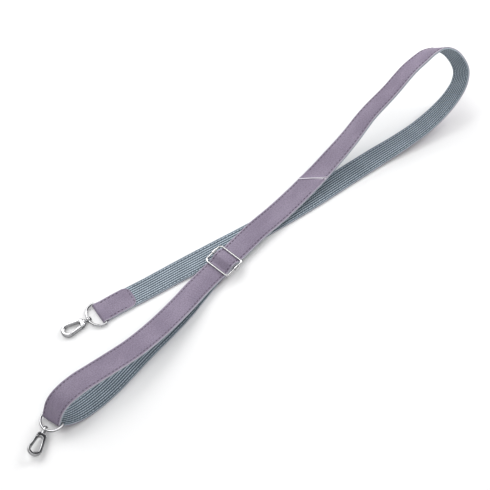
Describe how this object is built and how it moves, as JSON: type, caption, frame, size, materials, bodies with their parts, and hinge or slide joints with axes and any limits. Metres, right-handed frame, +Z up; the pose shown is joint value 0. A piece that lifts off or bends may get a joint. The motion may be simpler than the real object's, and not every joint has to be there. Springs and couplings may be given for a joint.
{
  "type": "detachable bag strap",
  "caption": "Long narrow shoulder strap of ribbed webbing faced with leather, folded in a loop with a wire slider and a swivelling gate hook on a D-ring at each end.",
  "frame": {"origin": "on the floor under the middle of the strap as it is laid", "axes": "+X along the laid strap from the two hooks towards the far loop, +Y across it towards hook A, +Z up"},
  "size_m": [0.653, 0.1022, 0.0788],
  "materials": {
    "webbing": "woven, lengthwise ribs",
    "leather": "smooth matt grain",
    "nickel": "polished",
    "spring_steel": "bright drawn wire"
  },
  "bodies": {
    "strap": {"long_run_webbing": "webbing", "far_loop_webbing": "webbing", "return_run_webbing": "webbing", "slider_lead_webbing": "webbing", "slider_tail_webbing": "webbing", "hook_loop_webbing": "webbing", "fold_webbing": "webbing", "floor_return_webbing": "webbing", "adjust_webbing": "webbing", "long_run_facing": "leather", "far_loop_facing": "leather", "return_run_facing": "leather", "crossing_facing": "leather", "slider_lead_facing": "leather", "slider_tail_facing": "leather", "hook_loop_facing": "leather", "fold_facing": "leather", "floor_return_facing": "leather", "adjust_facing": "leather"},
    "slider_run": {"slider_hump_webbing": "webbing", "slider_hump_facing": "leather", "sewn_end": "leather", "slider_bar": "nickel"},
    "slider_hoop": {"slider_frame": "nickel"},
    "ring_a": {"d_ring_a": "nickel"},
    "ring_b": {"d_ring_b": "nickel"},
    "hook_a": {"hook_a_body": "nickel", "hook_a_swivel_post": "nickel", "hook_a_gate_pin": "nickel", "hook_a_gate_spring": "spring_steel"},
    "hook_b": {"hook_b_body": "nickel", "hook_b_swivel_post": "nickel", "hook_b_gate_pin": "nickel", "hook_b_gate_spring": "spring_steel"},
    "gate_a": {"hook_a_gate": "nickel"},
    "gate_b": {"hook_b_gate": "nickel"}
  },
  "joints": [
    {"name": "slider_travel", "type": "slide", "parent": "strap", "child": "slider_run", "axis": [-0.9945, -0.1045, 0], "range_m": [0, 0.04], "deforming": ["slider_lead_webbing", "slider_lead_facing", "slider_tail_webbing", "slider_tail_facing", "adjust_webbing", "adjust_facing"]},
    {"name": "slider_play", "type": "slide", "parent": "slider_run", "child": "slider_hoop", "axis": [0.9945, 0.1045, 0], "range_m": [0, 0.0038]},
    {"name": "ring_a_swing", "type": "hinge", "parent": "strap", "child": "ring_a", "pos_m": [-0.16582, 0.03531, 0.0026], "axis": [0.1736, 0.9848, 0], "range_deg": [-80, 140]},
    {"name": "hook_a_swivel", "type": "hinge", "parent": "ring_a", "child": "hook_a", "pos_m": [-0.1801, 0.03783, 0.0026], "axis": [-0.9848, 0.1736, 0], "continuous": true},
    {"name": "gate_a_open", "type": "hinge", "parent": "hook_a", "child": "gate_a", "pos_m": [-0.18953, 0.03564, 0.0026], "axis": [0, 0, -1], "range_deg": [0, 18], "stiffness_Nm_per_rad": 0.02, "springref_deg": -28.65},
    {"name": "ring_b_swing", "type": "hinge", "parent": "strap", "child": "ring_b", "pos_m": [-0.28294, -0.03009, 0.0086], "axis": [-0.1344, 0.9565, -0.2588], "range_deg": [-74, 74]},
    {"name": "hook_b_swivel", "type": "hinge", "parent": "ring_b", "child": "hook_b", "pos_m": [-0.29709, -0.03261, 0.00665], "axis": [-0.8944, -0.4459, 0.0349], "continuous": true},
    {"name": "gate_b_open", "type": "hinge", "parent": "hook_b", "child": "gate_b", "pos_m": [-0.30666, -0.03328, 0.00794], "axis": [0.1457, -0.2166, 0.9653], "range_deg": [0, 18], "stiffness_Nm_per_rad": 0.02, "springref_deg": -28.65}
  ]
}
